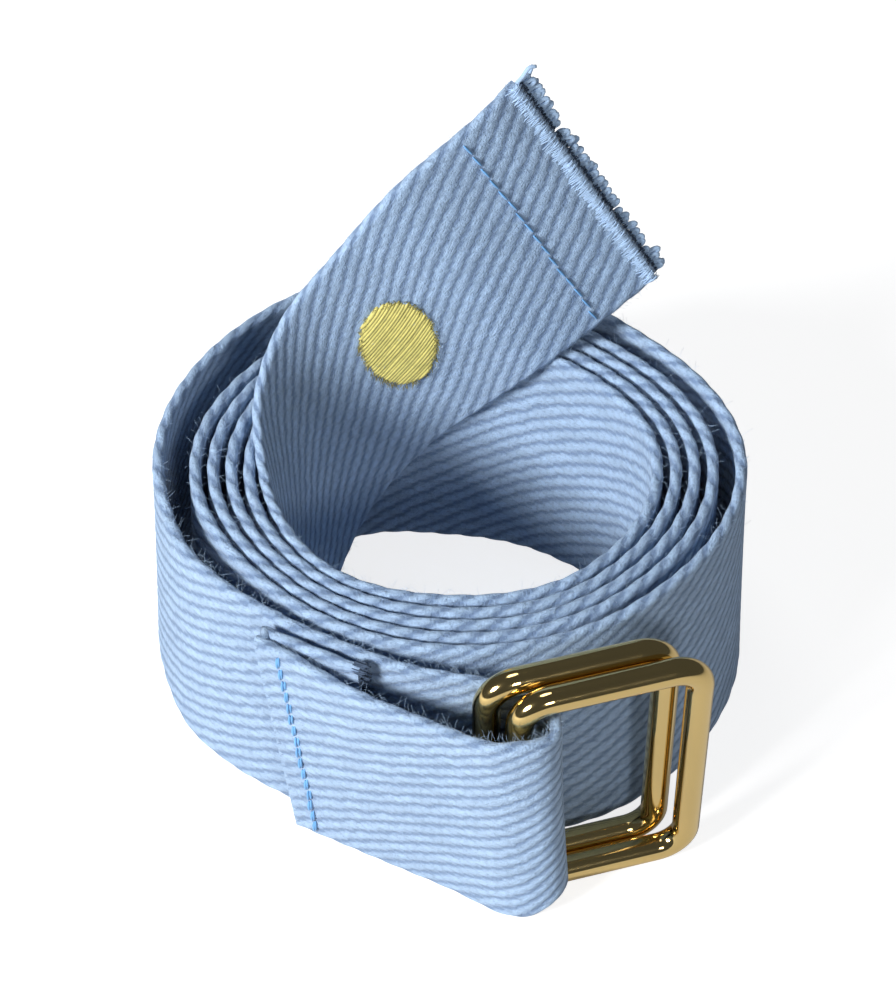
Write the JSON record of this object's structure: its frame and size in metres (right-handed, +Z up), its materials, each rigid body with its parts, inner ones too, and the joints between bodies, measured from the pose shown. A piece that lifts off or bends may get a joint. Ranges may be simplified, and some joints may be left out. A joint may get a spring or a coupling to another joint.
{
  "type": "gait belt",
  "caption": "Webbing gait belt rolled up on its edge, with its free end standing out of the middle and a buckle of rectangular wire rings in its sewn loop.",
  "frame": {"origin": "middle of the belt's footprint on the surface it stands on", "axes": "+Z up across the webbing's width, -Y towards the buckle, +X to the right of someone facing the buckle"},
  "size_m": [0.1001, 0.1028, 0.1035],
  "materials": {
    "webbing": "thick woven cotton webbing, light blue",
    "ring_metal": "polished gold-coloured wire",
    "seam_thread": "sky-blue sewing thread",
    "embroidery_thread": "pale yellow-gold satin stitch"
  },
  "bodies": {
    "belt": {"strap_turned_hem": "webbing", "strap_buckle_loop": "webbing", "strap_turn_1": "webbing", "strap_turn_2": "webbing", "strap_turn_3": "webbing", "strap_turn_4": "webbing", "strap_turn_5": "webbing", "strap_free_end": "webbing", "hem_raw_edge": "webbing", "loop_seam_needle_thread": "seam_thread", "loop_seam_bobbin_thread": "seam_thread", "end_seam_needle_thread": "seam_thread", "end_seam_bobbin_thread": "seam_thread", "embroidered_dot": "embroidery_thread", "embroidery_backing": "embroidery_thread", "weft_loops": "webbing"},
    "front_ring": {"ring_front": "ring_metal"},
    "rear_ring": {"ring_rear": "ring_metal"}
  },
  "joints": [
    {"name": "front_ring_swing", "type": "hinge", "parent": "belt", "child": "front_ring", "pos_m": [0.01105, -0.04618, 0.0277], "axis": [0, 0, 1], "range_deg": [-75, 0]},
    {"name": "rear_ring_swing", "type": "hinge", "parent": "belt", "child": "rear_ring", "pos_m": [0.00585, -0.04248, 0.0277], "axis": [0, 0, 1], "range_deg": [0, 10]}
  ]
}
